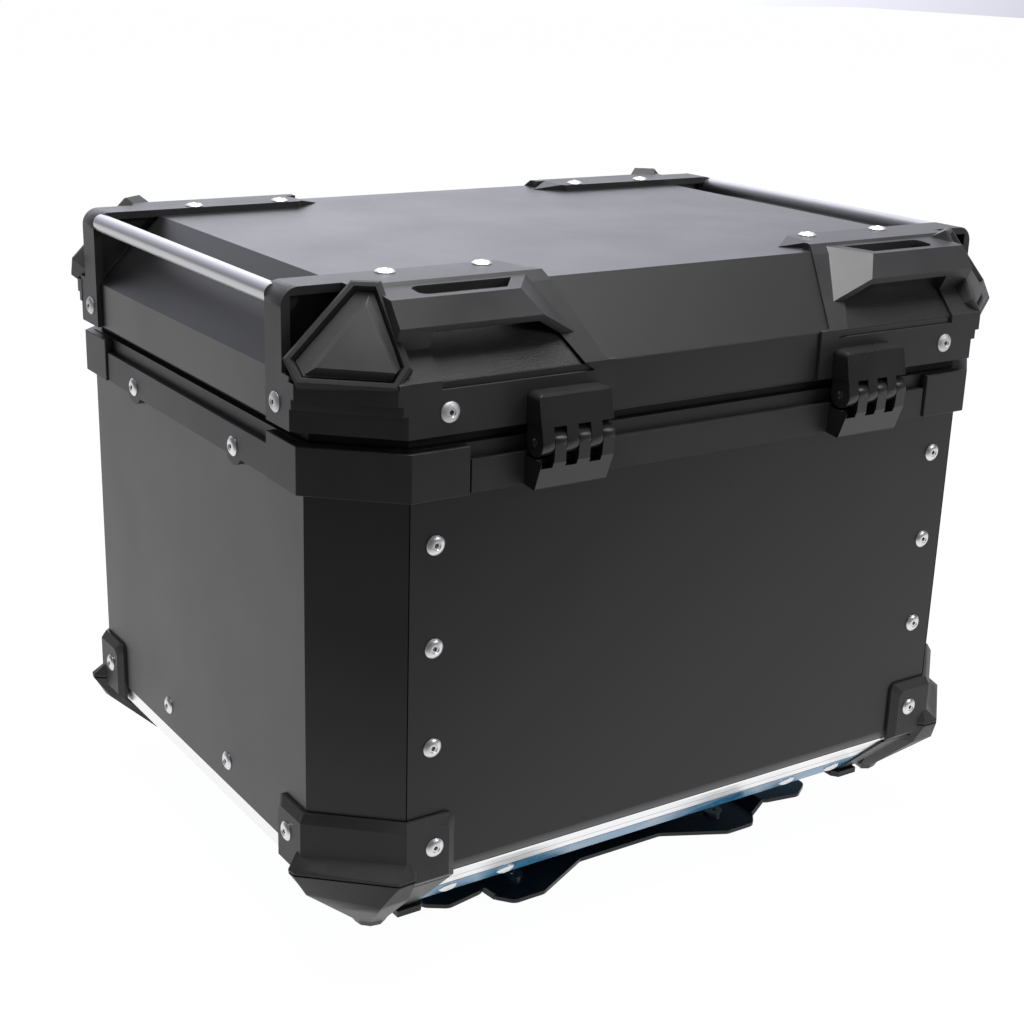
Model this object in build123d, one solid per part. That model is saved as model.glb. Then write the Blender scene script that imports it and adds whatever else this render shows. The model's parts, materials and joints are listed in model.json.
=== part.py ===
from build123d import *
import math
import os

# ---------------------------------------------------------------------------------------------
# A motorcycle top case with a hinged lid. Millimetres, +Z up, origin on the floor under the
# middle of the case. +X is the case's right-hand end, -Y is the hinge side, +Y the latch side.
# ---------------------------------------------------------------------------------------------

# Case body
WIDTH = 430.0            # over the end panels, along X
DEPTH = 333.0            # over the front and rear panels, along Y
CORNER_X = 37.0          # length of a corner chamfer along X
CORNER_Y = 33.5          # length of a corner chamfer along Y
SHEET = 1.5              # aluminium sheet thickness
PANEL_BOTTOM = 58.3      # lower edge of the front and rear panels
END_BOTTOM = 66.5        # lower edge of the end panels
PANEL_TOP = 270.0        # upper edge of the panels, inside the rim frame
ROLL = 5.6               # height of the rolled-in lower edge of the front and rear panels
ROLL_IN = 1.2            # how far that edge rolls in

# Bottom pan
LIP_TOP = 86.0           # top of the pan's upright lip, inside the panels
BEVEL_TOP = 57.0         # where the 45 degree bevel starts
PAN_BOTTOM = 24.0        # underside of the pan's floor
FILM = 0.15              # protective film thickness
FILM_TOP = 39.2          # upper edge of the film on the bevel
MAT = 3.0                # floor mat thickness

# Rim frame round the opening
BAND_OUT = 3.8           # how far the band stands out from the panels
BAND_BOTTOM = 258.3
BAND_TOP = 274.5
DECK_TOP = 282.0
DECK_IN = 10.0           # how far the deck reaches inwards
DECK_SKIRT = 255.0       # lower edge of the frame's inner skirt
SEAL_HEIGHT = 4.4
CORNER_BOTTOM = 258.2    # rim corner covers
CORNER_TOP = 281.6
CORNER_THICK = 1.0
CORNER_REACH_X = 148.5   # inner ends of the covers on the front and rear
CORNER_REACH_Y = 104.0   # inner ends of the covers on the ends

# Lid
LID_X = 219.0            # half width over the skirt
LID_Y = 168.8            # half depth over the skirt
LID_BOTTOM = 288.8
CREASE = 312.9           # where the skirt meets the slopes
LID_TOP = 349.1
LID_TOP_X = 183.5        # half width of the flat top
LID_TOP_Y = 136.5        # half depth of the flat top
LID_CUT_X = 39.0         # corner chamfer of the skirt
LID_CUT_Y = LID_CUT_X * CORNER_Y / CORNER_X
TOP_CUT_X = 16.0         # corner chamfer of the flat top
TOP_CUT_Y = TOP_CUT_X * CORNER_Y / CORNER_X
LID_RIM_BOTTOM = 286.9
LID_RIM_TOP = 300.0
LID_RIM_THICK = 9.0

# Lid corner guards
GUARD_X = 221.6          # outer face on the ends
GUARD_Y = 170.4          # outer face on the front and rear
GUARD_BOTTOM = 288.2
GUARD_TOP = 352.7
RAIL_X = 216.6
RAIL_Z = 346.6
RAIL_R = 5.0
SPIGOT_R = 3.0           # the rail's reduced ends, inside the posts
SPIGOT_END = 118.0
COVER = 2.0              # how far the cover stands out from the slope, along Y
WALL_TOP = 314.0
GUARD_CUT_X = 40.5
GUARD_CUT_Y = 37.7

# Hinges and latches
UNIT_X = 97.0            # middle of each hinge and latch
UNIT_HALF = 20.8         # half width
PIVOT_Y = 178.0          # distance of the hinge pins from the middle plane
PIVOT_Z = 281.0
BARREL_R = 7.0
PIN_R = 2.0
RUNNING = 0.05           # radial clearance of a running fit
LEAF_FRONT = 180.6       # the upper leaf's front face at its top
UNIT_BOTTOM = 257.6
UNIT_TOP = 304.0
KNUCKLES = 6
SIDE_GAP = 0.3           # gap between neighbouring knuckles
LEAF_LOW = 288.8         # lower edge of the upper leaf's body
LEAF_ROUND = 3.0
PIN_SHORT = 0.8          # how far the hinge pin ends inside the hinge
LATCH_PIVOT_Z = 264.0
LATCH_PIVOT_Y = 178.0

# Bottom corner guards
FOOT_GUARD_OUT = 4.3     # thickness on the panels
FOOT_GUARD_TOP = 93.6
FOOT_GUARD_BOTTOM = 60.5
GUARD_BORDER = 4.5       # height of the bevelled border round the arms
BORDER_DEPTH = 2.6
ARM_ROUND = 5.0          # round corner at the inner end of each arm
FOOT_REACH_X = 151.0
FOOT_REACH_Y = 105.6
WRAP_BOTTOM = 21.0       # where the guard laps under the pan
FOOT_TIP = 18.5          # underside of the foot
LEDGE_TOP = 72.5         # the ledge above the foot
LEDGE_LIP = 65.6
LIP_LOW = 64.2           # underside of the ledge's lip, over a shadow groove
FOOT_TOP = 63.4
FOOT_KNEE = 50.0

# Base plate
PLATE = 2.5
HAT_TOP = PAN_BOTTOM - FILM
HAT_X = 96.0
HAT_Y = 84.0
HAT_TAPER = 12.0
SLOT_X = 48.0            # rack slots, from the middle
SLOT_Y = 97.0
SLOT_R = 3.3
SLOT_LENGTH = 24.0
BASE_SCREW_X = 73.0
BASE_SCREW_Y = 107.4

# Blind rivets
RIVET_R = 2.4
RIVET_HEAD_R = 5.0
RIVET_HEAD = 1.7
RIVET_EDGE = 0.4         # thickness of the head at its rim
MANDREL_R = 1.15
DISH_R = 2.3             # shallow dish round the mandrel hole
DISH_Z = 1.35
TAIL_R = 3.6
TAIL = 4.0

HALF_X = WIDTH / 2
HALF_Y = DEPTH / 2
CORNERS = {"front_left": (-1, -1), "front_right": (1, -1), "rear_left": (-1, 1), "rear_right": (1, 1)}
SIDES = {"left": -1, "right": 1}
parts = {}


# ---------------------------------------------------------------------------------------------
# Helpers
# ---------------------------------------------------------------------------------------------
def octagon(half_x, half_y, cut_x, cut_y, offset=0.0):
    """Corner points of a chamfered rectangle, with every side moved out by offset."""
    length = math.hypot(cut_x, cut_y)
    nx = cut_y / length
    ny = cut_x / length
    reach = nx * half_x + ny * (half_y - cut_y) + offset
    x = half_x + offset
    y = half_y + offset
    x_cut = (reach - ny * y) / nx
    y_cut = (reach - nx * x) / ny
    quarter = [(x, y_cut), (x_cut, y)]
    turned = [(-x_cut, y), (-x, y_cut)]
    return quarter + turned + [(-px, -py) for px, py in quarter + turned]


def case_outline(offset=0.0):
    return octagon(HALF_X, HALF_Y, CORNER_X, CORNER_Y, offset)


def lid_outline(offset=0.0):
    return octagon(LID_X, LID_Y, LID_CUT_X, LID_CUT_Y, offset)


def polygon(points, z=0.0):
    return make_face(Polyline([(p[0], p[1], z) for p in points], close=True))


def prism(points, low, high):
    return extrude(polygon(points, low), amount=high - low, dir=(0, 0, 1))


def rounded_prism(points, low, high, radius):
    """A prism with its upright edges rounded."""
    shape = prism(points, low, high)
    return fillet(shape.edges().filter_by(Axis.Z), radius)


def frustum(low_points, low, high_points, high):
    return loft([polygon(low_points, low), polygon(high_points, high)], ruled=True)


def ring(outline, outer, inner, low, high):
    return prism(outline(outer), low, high) - prism(outline(inner), low, high)


def flat_face(points):
    return make_face(Polyline(points, close=True))


def profile_along_x(points, low, high):
    """A prism along X from (y, z) points."""
    return extrude(flat_face([(low, y, z) for y, z in points]), amount=high - low, dir=(1, 0, 0))


def profile_along_y(points, low, high):
    """A prism along Y from (x, z) points."""
    return extrude(flat_face([(x, low, z) for x, z in points]), amount=high - low, dir=(0, 1, 0))


def block(low, high):
    size = [b - a for a, b in zip(low, high)]
    middle = [(a + b) / 2 for a, b in zip(low, high)]
    return Pos(*middle) * Box(*size)


def rod(start, direction, radius, length):
    """A cylinder that starts at a point and runs along a direction."""
    return Plane(origin=start, z_dir=direction) * Cylinder(
        radius, length, align=(Align.CENTER, Align.CENTER, Align.MIN)
    )


def to_corner(shape, side_x, side_y):
    """Mirrors a shape made for the +X +Y corner to another corner."""
    if side_x < 0:
        shape = mirror(shape, about=Plane.YZ)
    if side_y < 0:
        shape = mirror(shape, about=Plane.XZ)
    return shape


def inset(points, distance):
    """A convex outline moved inwards by a distance."""
    count = len(points)
    lines = []
    cx = sum(p[0] for p in points) / count
    cy = sum(p[1] for p in points) / count
    for i in range(count):
        x0, y0 = points[i]
        x1, y1 = points[(i + 1) % count]
        nx, ny = y1 - y0, x0 - x1
        length = math.hypot(nx, ny)
        nx, ny = nx / length, ny / length
        if nx * (cx - x0) + ny * (cy - y0) < 0:
            nx, ny = -nx, -ny
        lines.append((nx, ny, nx * x0 + ny * y0 + distance))
    moved = []
    for i in range(count):
        a, b = lines[i - 1], lines[i]
        det = a[0] * b[1] - a[1] * b[0]
        moved.append(((a[2] * b[1] - a[1] * b[2]) / det, (a[0] * b[2] - a[2] * b[0]) / det))
    return moved


def one_solid(shape):
    """The largest solid of a shape, for pieces that a cut may leave slivers of."""
    return max(shape.solids(), key=lambda s: s.volume)


# ---------------------------------------------------------------------------------------------
# Rivet places: (head seat point, outward direction, grip)
# ---------------------------------------------------------------------------------------------
PANEL_RIVET_X = 163.8
PANEL_RIVET_Z = (234.5, 182.5, 130.3)
END_RIVET_Y = 40.0
END_RIVET_Z = 80.8
BAND_RIVET_Y = 64.6
BAND_RIVET_Z = 263.4
GUARD_RIVET_Z = 78.0
GUARD_RIVET_X = 164.0
GUARD_RIVET_Y = 119.6
PAN_RIVET_X = (136.5, 100.4)
PAN_RIVET_DOWN = 25.4     # along Y and Z from the top of the bevel
LID_RIVET_TOP_X = (160.4, 106.6)
LID_RIVET_TOP_Y = 111.0
LID_RIVET_FRONT_X = 159.5
LID_RIVET_SIDE_Y = 118.5
LID_RIVET_Z = 299.0
HALF_ROOT = math.sqrt(0.5)

panel_rivets = [
    ((sx * PANEL_RIVET_X, sy * HALF_Y, z), (0, sy, 0), 2 * SHEET)
    for sx, sy in CORNERS.values()
    for z in PANEL_RIVET_Z
]
end_rivets = [
    ((sx * HALF_X, sy * END_RIVET_Y, END_RIVET_Z), (sx, 0, 0), 2 * SHEET) for sx, sy in CORNERS.values()
]
band_rivets = [
    ((sx * (HALF_X + BAND_OUT), sy * BAND_RIVET_Y, BAND_RIVET_Z), (sx, 0, 0), BAND_OUT + SHEET)
    for sx, sy in CORNERS.values()
]
GUARD_GRIP = FOOT_GUARD_OUT + 2 * SHEET
guard_rivets = [
    ((sx * GUARD_RIVET_X, sy * (HALF_Y + FOOT_GUARD_OUT), GUARD_RIVET_Z), (0, sy, 0), GUARD_GRIP)
    for sx, sy in CORNERS.values()
] + [
    ((sx * (HALF_X + FOOT_GUARD_OUT), sy * GUARD_RIVET_Y, GUARD_RIVET_Z), (sx, 0, 0), GUARD_GRIP)
    for sx, sy in CORNERS.values()
]
pan_rivets = [
    (
        (sx * x, sy * (HALF_Y - SHEET - PAN_RIVET_DOWN), BEVEL_TOP - PAN_RIVET_DOWN),
        (0, sy * HALF_ROOT, -HALF_ROOT),
        SHEET,
    )
    for sx, sy in CORNERS.values()
    for x in PAN_RIVET_X
]
lid_rivets = (
    [
        ((sx * x, sy * LID_RIVET_TOP_Y, GUARD_TOP), (0, 0, 1), GUARD_TOP - LID_TOP + SHEET)
        for sx, sy in CORNERS.values()
        for x in LID_RIVET_TOP_X
    ]
    + [
        ((sx * LID_RIVET_FRONT_X, sy * GUARD_Y, LID_RIVET_Z), (0, sy, 0), GUARD_Y - LID_Y + SHEET)
        for sx, sy in CORNERS.values()
    ]
    + [
        ((sx * GUARD_X, sy * LID_RIVET_SIDE_Y, LID_RIVET_Z), (sx, 0, 0), GUARD_X - LID_X + SHEET)
        for sx, sy in CORNERS.values()
    ]
)


def rivet(seat, out, grip):
    """A set blind rivet: domed head with a dished middle, shank, mandrel hole and formed tail."""
    half = [
        (MANDREL_R, DISH_Z),
        (MANDREL_R, -2.5),
        (0.0, -2.5),
        (0.0, -grip - TAIL),
        (TAIL_R * 0.7, -grip - TAIL),
        (TAIL_R, -grip - TAIL * 0.6),
        (TAIL_R, -grip),
        (RIVET_R, -grip),
        (RIVET_R, 0.0),
        (RIVET_HEAD_R, 0.0),
        (RIVET_HEAD_R, RIVET_EDGE),
    ]
    outline = Polyline([(r, 0, z) for r, z in half])
    crest = (DISH_R, 0, RIVET_HEAD)
    shoulder = (RIVET_HEAD_R * 0.75, 0, RIVET_HEAD * 0.8)
    dome = ThreePointArc((RIVET_HEAD_R, 0, RIVET_EDGE), shoulder, crest)
    dish = Polyline(crest, (DISH_R - 0.3, 0, DISH_Z), (MANDREL_R, 0, DISH_Z))
    body = revolve(make_face(outline + dome + dish), axis=Axis.Z)
    return Plane(origin=seat, z_dir=out) * body


def rivet_group(places):
    return Compound(children=[rivet(*place) for place in places])


def rivet_holes(places):
    """Shanks and tails as one tool that cuts their holes."""
    tools = []
    for seat, out, grip in places:
        start = [s + 0.5 * o for s, o in zip(seat, out)]
        inward = tuple(-o for o in out)
        tools.append(rod(start, inward, RIVET_R, grip + 1.0))
    return tools


def drilled(shape, *groups):
    for group in groups:
        for tool in rivet_holes(group):
            shape = shape - tool
    return shape


# ---------------------------------------------------------------------------------------------
# Case panels
# ---------------------------------------------------------------------------------------------
FLAT_X = HALF_X - CORNER_X      # where the front face meets the chamfers
FLANGE = 24.0                   # how far an end panel's flange runs behind the front panel


def long_panel(side):
    """The front or rear sheet, with its lower edge rolled in."""
    half = FLAT_X - 0.6
    y = side * HALF_Y
    back = side * (HALF_Y - SHEET)
    rolled = side * (HALF_Y - ROLL_IN)
    knee = PANEL_BOTTOM + ROLL
    sheet = profile_along_x([(y, knee), (y, PANEL_TOP), (back, PANEL_TOP), (back, knee)], -half, half)
    hem = profile_along_x([(y, knee), (back, knee), (back, PANEL_BOTTOM), (rolled, PANEL_BOTTOM)], -half, half)
    return sheet + hem


def end_panel(side):
    """An end sheet with its two folded chamfers and the flanges behind the front and rear sheets."""
    shell = ring(case_outline, 0.0, -SHEET, END_BOTTOM, PANEL_TOP)
    keep = block((FLAT_X, -HALF_Y, END_BOTTOM), (HALF_X, HALF_Y, PANEL_TOP))
    folded = one_solid(shell & keep)
    inner = HALF_Y - SHEET
    for sy in (-1, 1):
        folded = folded + block(
            (FLAT_X - FLANGE, min(sy * inner, sy * (inner - SHEET)), LIP_TOP + 1.0),
            (FLAT_X + 1.5, max(sy * inner, sy * (inner - SHEET)), PANEL_TOP),
        )
    folded = folded & prism(case_outline(0.0), END_BOTTOM, PANEL_TOP)
    if side < 0:
        folded = mirror(folded, about=Plane.YZ)
    return folded


parts["front_panel"] = drilled(long_panel(-1), panel_rivets, guard_rivets)
parts["rear_panel"] = drilled(long_panel(1), panel_rivets, guard_rivets)
parts["left_panel"] = drilled(end_panel(-1), panel_rivets, end_rivets, band_rivets, guard_rivets)
parts["right_panel"] = drilled(end_panel(1), panel_rivets, end_rivets, band_rivets, guard_rivets)


# ---------------------------------------------------------------------------------------------
# Bottom pan, film and mat
# ---------------------------------------------------------------------------------------------
def pan_solid(offset, bottom):
    """The pan's filled shape, moved out by an offset, down to a bottom height."""
    straight = prism(case_outline(offset), BEVEL_TOP, LIP_TOP)
    drop = BEVEL_TOP - bottom
    return straight + frustum(case_outline(offset - drop), bottom, case_outline(offset), BEVEL_TOP)


BEVEL_STEP = SHEET * (math.sqrt(2) - 1)      # inner bevel start, for an even thickness


def bottom_pan():
    outer = pan_solid(-SHEET, PAN_BOTTOM)
    inner_top = BEVEL_TOP + BEVEL_STEP
    inner_low = PAN_BOTTOM + SHEET
    drop = inner_top - inner_low
    inner = prism(case_outline(-2 * SHEET), inner_top, LIP_TOP) + frustum(
        case_outline(-2 * SHEET - drop), inner_low, case_outline(-2 * SHEET), inner_top
    )
    return drilled(outer - inner, end_rivets, guard_rivets, pan_rivets)


def protective_film():
    top_offset = -SHEET - (BEVEL_TOP - FILM_TOP)
    drop = FILM_TOP - PAN_BOTTOM
    low = PAN_BOTTOM
    inner = frustum(case_outline(top_offset - drop), low, case_outline(top_offset), FILM_TOP)
    spread = FILM * (math.sqrt(2) - 1)
    wide = FILM * math.sqrt(2)
    outer = frustum(
        case_outline(top_offset - drop + spread), low - FILM, case_outline(top_offset + wide), FILM_TOP
    )
    film = outer - inner
    for seat, out, grip in pan_rivets:
        start = tuple(s - 2 * o for s, o in zip(seat, out))
        film = film - rod(start, out, RIVET_HEAD_R + 0.4, 4.0)
    return film


parts["bottom_pan"] = bottom_pan()
parts["protective_film"] = protective_film()
mat_low = PAN_BOTTOM + SHEET
mat_inset = -2 * SHEET - (BEVEL_TOP + BEVEL_STEP - mat_low)
parts["floor_mat"] = prism(case_outline(mat_inset - 2.0), mat_low, mat_low + MAT)

# ---------------------------------------------------------------------------------------------
# Rim frame, seal and corner covers
# ---------------------------------------------------------------------------------------------
SCALLOP_R = 9.5          # the band drops round its rivets
GROOVE = 1.4             # groove at each end of a corner cover
GROOVE_DEPTH = 1.8


def cover_grooves():
    """Upright grooves in the band at the ends of a corner cover."""
    deep = BAND_OUT - GROOVE_DEPTH
    reach_y = HALF_Y + deep
    reach_x = HALF_X + deep
    low = BAND_BOTTOM - 1.0
    high = BAND_TOP + 1.0
    front = block((CORNER_REACH_X - GROOVE, reach_y, low), (CORNER_REACH_X, reach_y + 5.0, high))
    end = block((reach_x, CORNER_REACH_Y - GROOVE, low), (reach_x + 5.0, CORNER_REACH_Y, high))
    return front + end


def rim_frame():
    band = ring(case_outline, BAND_OUT, 0.0, BAND_BOTTOM, PANEL_TOP)
    for seat, out, grip in band_rivets:
        side = out[0]
        tab = rod((side * HALF_X, seat[1], seat[2]), out, SCALLOP_R, BAND_OUT)
        band = band + tab
    step = ring(case_outline, BAND_OUT, -DECK_IN, PANEL_TOP, BAND_TOP)
    deck = ring(case_outline, 0.0, -DECK_IN, BAND_TOP, DECK_TOP)
    skirt = ring(case_outline, -DECK_IN + 2.0, -DECK_IN, DECK_SKIRT, PANEL_TOP)
    frame = band + step + deck + skirt
    for sx, sy in CORNERS.values():
        frame = frame - to_corner(cover_grooves(), sx, sy)
    return drilled(frame, band_rivets)


def rim_corner():
    """A moulded cover over one corner of the band, for the +X +Y corner."""
    out = BAND_OUT + CORNER_THICK
    jacket = ring(case_outline, out, BAND_OUT, CORNER_BOTTOM, CORNER_TOP)
    shelf = ring(case_outline, out, 0.0, BAND_TOP, CORNER_TOP)
    lower = ring(case_outline, out, BAND_OUT, CORNER_BOTTOM - 0.2, CORNER_BOTTOM)
    cover = jacket + shelf + lower
    reach = 300.0
    keep = block((CORNER_REACH_X, CORNER_REACH_Y, 0), (reach, reach, 400.0))
    return one_solid(cover & keep)


parts["rim_frame"] = rim_frame()
parts["rim_seal"] = ring(case_outline, -3.5, -8.0, DECK_TOP, DECK_TOP + SEAL_HEIGHT)
corner_cover = rim_corner()
for place, (sx, sy) in CORNERS.items():
    parts["rim_corner_" + place] = to_corner(corner_cover, sx, sy)


# ---------------------------------------------------------------------------------------------
# Bottom corner guards, made for the +X +Y corner
# ---------------------------------------------------------------------------------------------
FAR = 300.0              # beyond every part of the case
ACROSS = Plane(origin=(0, 0, 0), z_dir=(1, -1, 0))       # swaps X and Y


def arm_end(reach, edge, y):
    """Outline of an arm seen square on, from a rounded inner end outwards, drawn in by edge."""
    near = reach + edge
    high = FOOT_GUARD_TOP - edge
    bow = ARM_ROUND * (1 - HALF_ROOT)
    upper = (near + ARM_ROUND, y, high)
    inner = (near, y, high - ARM_ROUND)
    sides = Polyline(upper, (FAR, y, high), (FAR, y, 0.0), (near, y, 0.0), inner)
    corner = ThreePointArc(inner, (near + bow, y, high - bow), upper)
    return make_face(sides + corner)


def arm_room(reach, face):
    """Room for an arm whose outer face is at y = face, bevelled towards its rounded end."""
    shoulder = face - BORDER_DEPTH
    straight = extrude(arm_end(reach, 0.0, 0.0), amount=shoulder, dir=(0, 1, 0))
    bevel = loft([arm_end(reach, 0.0, shoulder), arm_end(reach, GUARD_BORDER, face)], ruled=True)
    return straight + bevel


FOOT_UPPER = [(219.2, 131.0), (218.0, 134.0), (180.0, 170.4), (177.0, 170.7), (165.0, 160.0), (205.0, 120.0)]
FOOT_BELT = [(225.6, 134.0), (225.0, 138.5), (185.8, 174.6), (176.5, 174.0), (165.0, 163.0), (207.0, 120.0)]
FOOT_MIDDLE = [(216.5, 130.0), (217.5, 137.0), (191.5, 167.0), (176.0, 166.8), (163.0, 152.0), (200.0, 118.0)]
FOOT_END = [(186.2, 124.6), (185.0, 131.8), (180.3, 136.3), (173.8, 137.4), (168.0, 134.0), (170.0, 122.0)]
LUG = [(146.5, 118.0), (146.5, 130.5), (149.5, 134.4), (163.5, 134.4), (163.5, 118.0)]


def foot():
    """The ledge with its lip, the groove under it, and the wedge that runs down to the tip."""
    tip = FOOT_TIP + 3.5
    sections = [
        polygon(FOOT_BELT, FOOT_TOP),
        polygon(FOOT_MIDDLE, FOOT_KNEE),
        polygon(FOOT_END, tip),
        polygon(inset(FOOT_END, 2.0), FOOT_TIP),
    ]
    wedge = loft(sections, ruled=True)
    neck = prism(inset(FOOT_BELT, 0.9), FOOT_TOP, LIP_LOW)
    lip = prism(FOOT_BELT, LIP_LOW, LEDGE_LIP)
    ledge = frustum(FOOT_BELT, LEDGE_LIP, FOOT_UPPER, LEDGE_TOP)
    lug = prism(LUG, FOOT_TIP, WRAP_BOTTOM + 1.0)
    return wedge + neck + lip + ledge + lug


def bottom_guard():
    out = FOOT_GUARD_OUT
    shoulder = FOOT_GUARD_TOP - GUARD_BORDER
    wall = prism(case_outline(out), FOOT_GUARD_BOTTOM, shoulder)
    rim = frustum(case_outline(out), shoulder, case_outline(out - BORDER_DEPTH), FOOT_GUARD_TOP)
    drop = FOOT_GUARD_BOTTOM - WRAP_BOTTOM
    wrap = frustum(case_outline(out - 1.0 - drop), WRAP_BOTTOM, case_outline(out), FOOT_GUARD_BOTTOM)
    guard = (wall + rim + wrap) & arm_room(FOOT_REACH_X, HALF_Y + out)
    guard = guard & mirror(arm_room(FOOT_REACH_Y, HALF_X + out), about=ACROSS)
    guard = guard + foot()
    pan_room = pan_solid(-SHEET + FILM * 1.5, PAN_BOTTOM - FILM)
    panel_room = prism(case_outline(0.0), BEVEL_TOP - 2.0, PANEL_TOP)
    return one_solid(guard - pan_room - panel_room)


foot_guard = bottom_guard()
for place, (sx, sy) in CORNERS.items():
    parts["bottom_guard_" + place] = drilled(to_corner(foot_guard, sx, sy), guard_rivets)


# ---------------------------------------------------------------------------------------------
# Base plate with its screws and spacers
# ---------------------------------------------------------------------------------------------
ARM_Z = 7.0              # underside of the raised arms
LOBE_ROUND = 6.0         # corner radius of the plate's outline
SCREW_HEAD = 1.8


def base_plate():
    lobe_edge = [(29.0, -111.0), (66.5, -129.5), (86.2, -129.5), (94.0, -120.0)]
    lower = lobe_edge + [(94.0, 120.0)] + [(x, -y) for x, y in reversed(lobe_edge[:-1])]
    lower = lower + [(-x, y) for x, y in reversed(lower)]
    flange = rounded_prism(lower, 0.0, PLATE, LOBE_ROUND)
    arm = [(100.0, -120.5), (126.0, -125.0), (138.0, -117.0), (139.0, -98.0), (124.0, -86.0)]
    arm = arm + [(x, -y) for x, y in reversed(arm)]
    arms = rounded_prism(arm, ARM_Z, ARM_Z + PLATE, LOBE_ROUND)
    joggle = profile_along_y(
        [(92.0, 0.0), (94.0, 0.0), (101.5, ARM_Z), (101.5, ARM_Z + PLATE), (100.0, ARM_Z + PLATE), (92.0, PLATE)],
        -120.2,
        120.2,
    )
    side = arms + joggle
    inner_x = HAT_X - HAT_TAPER
    inner_y = HAT_Y - HAT_TAPER
    corner = 16.0
    wide = octagon(HAT_X - 12.0, HAT_Y, corner, corner)
    narrow = octagon(inner_x - 12.0, inner_y, corner, corner)
    hat = frustum(wide, PLATE, narrow, HAT_TOP)
    hollow = frustum(octagon(HAT_X - 12.0, HAT_Y, corner, corner, -PLATE * 1.3), 0.0,
                     octagon(inner_x - 12.0, inner_y, corner, corner, -PLATE * 1.3), HAT_TOP - PLATE)
    plate = flange + side + mirror(side, about=Plane.YZ) + hat - hollow
    for sx, sy in CORNERS.values():
        slot = Pos(sx * SLOT_X, sy * SLOT_Y, PLATE / 2) * extrude(
            SlotOverall(SLOT_LENGTH, 2 * SLOT_R), amount=PLATE * 2, both=True
        )
        plate = plate - slot
        plate = plate - rod((sx * BASE_SCREW_X, sy * BASE_SCREW_Y, -1.0), (0, 0, 1), 3.0, 6.0)
    for sx in (-1, 1):
        for sy in (-1, 1):
            plate = plate - rod((sx * 45.0, sy * 45.0, 10.0), (0, 0, 1), 3.0, 30.0)
    return plate


def base_screws():
    screws = []
    for sx, sy in CORNERS.values():
        x = sx * BASE_SCREW_X
        y = sy * BASE_SCREW_Y
        shank = rod((x, y, 0.3), (0, 0, 1), 3.0, PLATE - 0.3)
        head = rod((x, y, PLATE), (0, 0, 1), 5.5, SCREW_HEAD)
        socket = Pos(x, y, PLATE + SCREW_HEAD) * extrude(RegularPolygon(2.0, 6), amount=-1.3)
        screws.append(shank + head - socket)
    return Compound(children=screws)


def dock_bolts():
    """Bolts that hold the plate to the pan, with large washers and nuts inside the case."""
    bolts = []
    inside = PAN_BOTTOM + SHEET
    for sx in (-1, 1):
        for sy in (-1, 1):
            x = sx * 45.0
            y = sy * 45.0
            low = HAT_TOP - PLATE
            head = Pos(x, y, low - 4.0) * extrude(RegularPolygon(5.4, 6), amount=4.0)
            shank = rod((x, y, low), (0, 0, 1), 3.0, inside - low + 9.0)
            washer = rod((x, y, inside), (0, 0, 1), 9.0, 1.6)
            nut = Pos(x, y, inside + 1.6) * extrude(RegularPolygon(5.6, 6), amount=5.0)
            bolts.append(head + shank + washer + nut)
    return Compound(children=bolts)


parts["base_plate"] = base_plate()
parts["base_screws"] = base_screws()
parts["dock_bolts"] = dock_bolts()
for sx in (-1, 1):
    for sy in (-1, 1):
        hole = rod((sx * 45.0, sy * 45.0, 10.0), (0, 0, 1), 3.0, 40.0)
        seat = rod((sx * 45.0, sy * 45.0, PAN_BOTTOM + SHEET), (0, 0, 1), 11.0, 10.0)
        parts["bottom_pan"] = parts["bottom_pan"] - hole
        parts["protective_film"] = parts["protective_film"] - hole
        parts["floor_mat"] = parts["floor_mat"] - seat


# ---------------------------------------------------------------------------------------------
# Lid shell and inner frame
# ---------------------------------------------------------------------------------------------
def lid_solid(offset=0.0, low=LID_BOTTOM, top=LID_TOP):
    """The lid's filled outer shape, moved out by an offset."""
    skirt = prism(lid_outline(offset), low, CREASE)
    flat = octagon(LID_TOP_X, LID_TOP_Y, TOP_CUT_X, TOP_CUT_Y, offset)
    return skirt + frustum(lid_outline(offset), CREASE, flat, top)


def lid_shell():
    return lid_solid() - lid_solid(-SHEET, LID_BOTTOM - 1.0, LID_TOP - SHEET)


parts["lid_shell"] = drilled(lid_shell(), lid_rivets)
lid_rim = ring(lid_outline, -SHEET, -SHEET - LID_RIM_THICK, LID_RIM_BOTTOM, LID_RIM_BOTTOM + 4.0)
lid_rim = lid_rim + ring(lid_outline, -SHEET, -SHEET - 2.5, LID_RIM_BOTTOM, 294.0)
parts["lid_rim"] = lid_rim


# ---------------------------------------------------------------------------------------------
# Lid corner guards with their handle bars, made for the +X +Y corner
# ---------------------------------------------------------------------------------------------
def slope_y(z, proud=0.0):
    """Y of the lid's front slope at a height, moved out by a horizontal distance."""
    return LID_Y + (LID_TOP_Y - LID_Y) * (z - CREASE) / (LID_TOP - CREASE) + proud


TRIANGLE = [
    (181.2, 144.3, 356.3),
    (192.2, 136.5, 356.3),
    (226.1, 135.5, 323.5),
    (224.1, 144.2, 313.0),
    (187.2, 170.8, 312.1),
    (179.5, 169.7, 321.4),
]


def triangle_plane():
    """A plane on the hexagonal frame at the corner: origin at its middle, Z outwards."""
    normal = Vector(0.5, 0.71, 0.495).normalized()
    middle = Vector(198.9, 149.7, 330.6)
    along = Vector(-0.82, 0.57, 0).normalized()
    return Plane(origin=middle, x_dir=along, z_dir=normal)


FRAME_PLANE = triangle_plane()


def in_frame(points):
    """Corner points as 2-D points on the triangle's plane."""
    return [FRAME_PLANE.to_local_coords(Vector(*p)) for p in points]


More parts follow.
